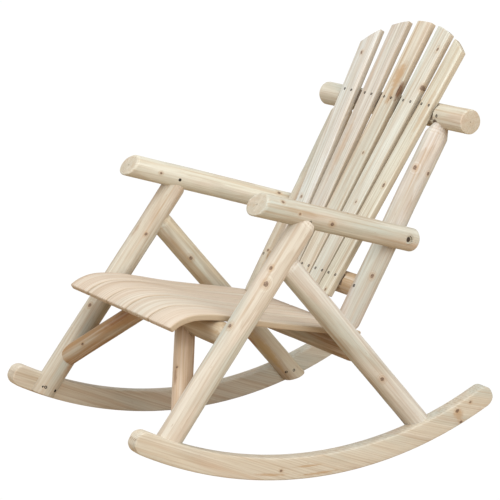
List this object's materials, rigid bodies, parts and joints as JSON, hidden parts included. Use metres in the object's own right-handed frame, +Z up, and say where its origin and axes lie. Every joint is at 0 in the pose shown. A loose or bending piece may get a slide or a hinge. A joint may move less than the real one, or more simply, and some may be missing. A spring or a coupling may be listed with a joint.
{
  "type": "log rocking chair",
  "caption": "Outdoor rocking chair of peeled logs, with a fanned slat back, a curved slat seat, sloping log arms and bent plank rockers.",
  "frame": {"origin": "middle of the bounding box on the floor, under the chair; the rockers touch the floor on a line 37 mm behind it, where the chair balances", "axes": "+Z up, the front of the chair faces -Y, +X is the sitter's left"},
  "size_m": [0.657, 1.0147, 0.9483],
  "materials": {
    "log_wood": "peeled and sanded softwood logs, unfinished",
    "rocker_wood": "sanded softwood plank, unfinished",
    "seat_board": "sanded softwood board, slightly pink, unfinished",
    "back_board": "sanded softwood board with knots, unfinished",
    "screw_steel": "dark countersunk screws",
    "bolt_steel": "dark bolts sunk in a round hole"
  },
  "bodies": {
    "root": {"arm_bolt_left": "bolt_steel", "arm_bolt_right": "bolt_steel", "arm_left": "log_wood", "arm_right": "log_wood", "back_post_left": "log_wood", "back_post_right": "log_wood", "back_slat_1": "back_board", "back_slat_2": "back_board", "back_slat_3": "back_board", "back_slat_4": "back_board", "back_slat_5": "back_board", "front_brace_left": "log_wood", "front_brace_right": "log_wood", "front_leg_left": "log_wood", "front_leg_right": "log_wood", "lap_screw_front_left_a": "screw_steel", "lap_screw_front_left_b": "screw_steel", "lap_screw_front_right_a": "screw_steel", "lap_screw_front_right_b": "screw_steel", "lap_screw_rear_left_a": "screw_steel", "lap_screw_rear_left_b": "screw_steel", "lap_screw_rear_right_a": "screw_steel", "lap_screw_rear_right_b": "screw_steel", "lower_crossbar": "log_wood", "rear_brace_left": "log_wood", "rear_brace_right": "log_wood", "rocker_left": "rocker_wood", "rocker_right": "rocker_wood", "seat_rail_front": "log_wood", "seat_rail_rear": "log_wood", "seat_slat_1": "seat_board", "seat_slat_2": "seat_board", "seat_slat_3": "seat_board", "seat_slat_4": "seat_board", "seat_slat_5": "seat_board", "slat_screw_low_1a": "screw_steel", "slat_screw_low_1b": "screw_steel", "slat_screw_low_2a": "screw_steel", "slat_screw_low_2b": "screw_steel", "slat_screw_low_3a": "screw_steel", "slat_screw_low_3b": "screw_steel", "slat_screw_low_4a": "screw_steel", "slat_screw_low_4b": "screw_steel", "slat_screw_low_5a": "screw_steel", "slat_screw_low_5b": "screw_steel", "slat_screw_top_1a": "screw_steel", "slat_screw_top_1b": "screw_steel", "slat_screw_top_2a": "screw_steel", "slat_screw_top_2b": "screw_steel", "slat_screw_top_3a": "screw_steel", "slat_screw_top_3b": "screw_steel", "slat_screw_top_4a": "screw_steel", "slat_screw_top_4b": "screw_steel", "slat_screw_top_5a": "screw_steel", "slat_screw_top_5b": "screw_steel", "top_crossbar": "log_wood"}
  },
  "joints": []
}
